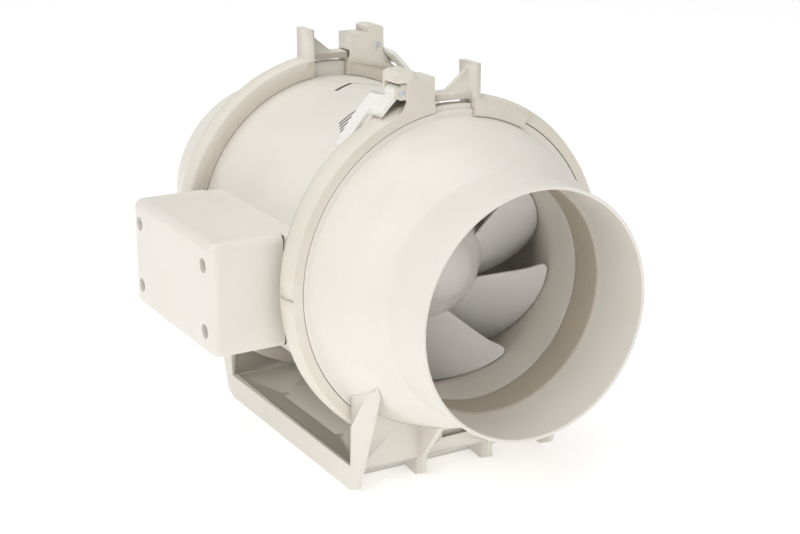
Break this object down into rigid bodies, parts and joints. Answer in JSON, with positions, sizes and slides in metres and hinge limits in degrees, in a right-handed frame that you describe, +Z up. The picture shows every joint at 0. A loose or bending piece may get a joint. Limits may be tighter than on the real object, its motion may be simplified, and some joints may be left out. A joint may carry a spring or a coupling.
{
  "type": "inline duct fan",
  "caption": "Inline mixed-flow duct fan for extract ventilation: round spigots, clamped lift-out barrel with motor and impeller, side terminal box and screw-down ribbed foot.",
  "frame": {"origin": "centre of the foot's screw-hole pattern, on the plane of the foot's underside", "axes": "duct axis along Y with the inlet at -Y and the outlet at +Y, terminal box on the -X side, +Z up away from the mounting surface"},
  "size_m": [0.2522, 0.34, 0.2489],
  "materials": {
    "moulded_cream": "satin moulded",
    "clamp_cream": "satin moulded",
    "blade_white": "semi-gloss moulded",
    "lever_white": "gloss moulded",
    "zinc_steel": "zinc plated",
    "electrical_steel": "laminated",
    "motor_cover": "die cast",
    "winding": "enamelled copper",
    "seal_rubber": "matte",
    "terminal_grey": "matte",
    "brass": "plain",
    "capacitor_case": "smooth",
    "lead_sheath": "matte"
  },
  "bodies": {
    "root": {"barrel": "moulded_cream", "cable_gland_body": "terminal_grey", "cable_gland_locknut": "terminal_grey", "cable_gland_nut": "terminal_grey", "cable_gland_seal": "seal_rubber", "capacitor_clip": "zinc_steel", "front_bearing": "zinc_steel", "front_clamp_band": "clamp_cream", "front_lever_pin": "zinc_steel", "guide_vane_diffuser": "moulded_cream", "impeller_shroud": "moulded_cream", "inlet_cone": "moulded_cream", "inlet_seal": "seal_rubber", "motor_capacitor": "capacitor_case", "motor_front_cover": "motor_cover", "motor_lead": "lead_sheath", "motor_mount_screws": "zinc_steel", "motor_rear_cover": "motor_cover", "motor_screws": "zinc_steel", "mounting_base": "moulded_cream", "outlet_cone": "moulded_cream", "outlet_fairing": "moulded_cream", "outlet_seal": "seal_rubber", "rear_bearing": "zinc_steel", "rear_clamp_band": "clamp_cream", "rear_lever_pin": "zinc_steel", "stator_core": "electrical_steel", "stator_windings": "winding", "terminal_block": "terminal_grey", "terminal_block_screws": "brass", "terminal_box_gasket": "seal_rubber", "terminal_box_lid": "moulded_cream", "terminal_box_screws": "zinc_steel", "wire_grommet": "seal_rubber"},
    "impeller_set": {"impeller": "blade_white", "nose_cap": "blade_white", "impeller_nut": "zinc_steel", "motor_shaft": "zinc_steel", "rotor_core": "electrical_steel"},
    "front_lever": {"front_release_lever": "lever_white"},
    "rear_lever": {"rear_release_lever": "lever_white"}
  },
  "joints": [
    {"name": "impeller_spin", "type": "hinge", "parent": "root", "child": "impeller_set", "pos_m": [0, 0, 0.1241], "axis": [0, -1, 0], "continuous": true},
    {"name": "front_lever_swing", "type": "hinge", "parent": "root", "child": "front_lever", "pos_m": [-0.0342, -0.0762, 0.2357], "axis": [0, 1, 0], "range_deg": [0, 60]},
    {"name": "rear_lever_swing", "type": "hinge", "parent": "root", "child": "rear_lever", "pos_m": [0.0342, 0.0762, 0.2357], "axis": [0, -1, 0], "range_deg": [0, 60]}
  ]
}
